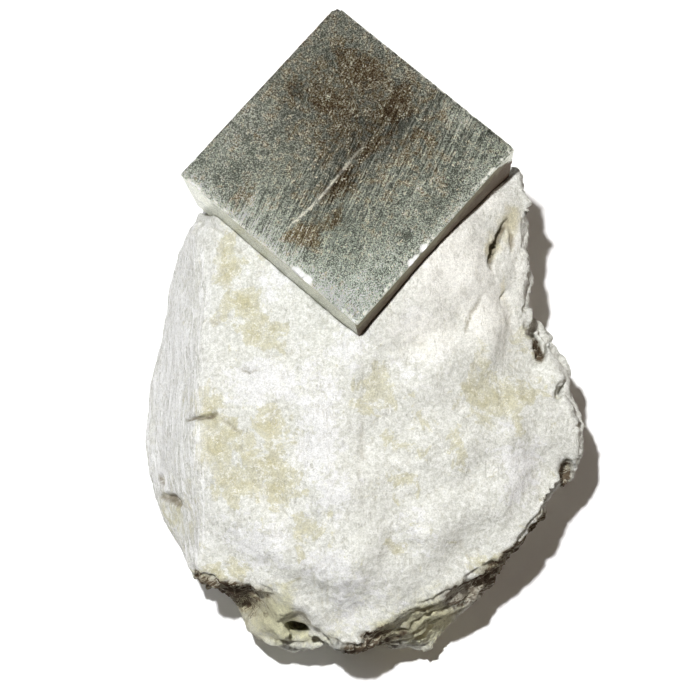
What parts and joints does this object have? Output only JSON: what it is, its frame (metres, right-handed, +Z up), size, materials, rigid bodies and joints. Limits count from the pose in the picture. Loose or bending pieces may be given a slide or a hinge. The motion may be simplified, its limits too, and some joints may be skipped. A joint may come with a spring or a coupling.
{
  "type": "pyrite crystal on matrix",
  "caption": "Sharp pyrite cube standing in a fitted pocket at one end of a pale marl block that rests on a flat broken base.",
  "frame": {"origin": "on the table, under the middle of the bounding box", "axes": "+Z up, +Y along the block towards the end that carries the cube, +X to the right seen from the plain end"},
  "size_m": [0.0655, 0.0928, 0.0432],
  "materials": {
    "pyrite": "dull metallic crystal faces with fine pits and striations",
    "marl": "matt chalky broken rock, near-white with beige patches"
  },
  "bodies": {
    "root": {"pyrite_cube": "pyrite", "matrix": "marl"}
  },
  "joints": []
}
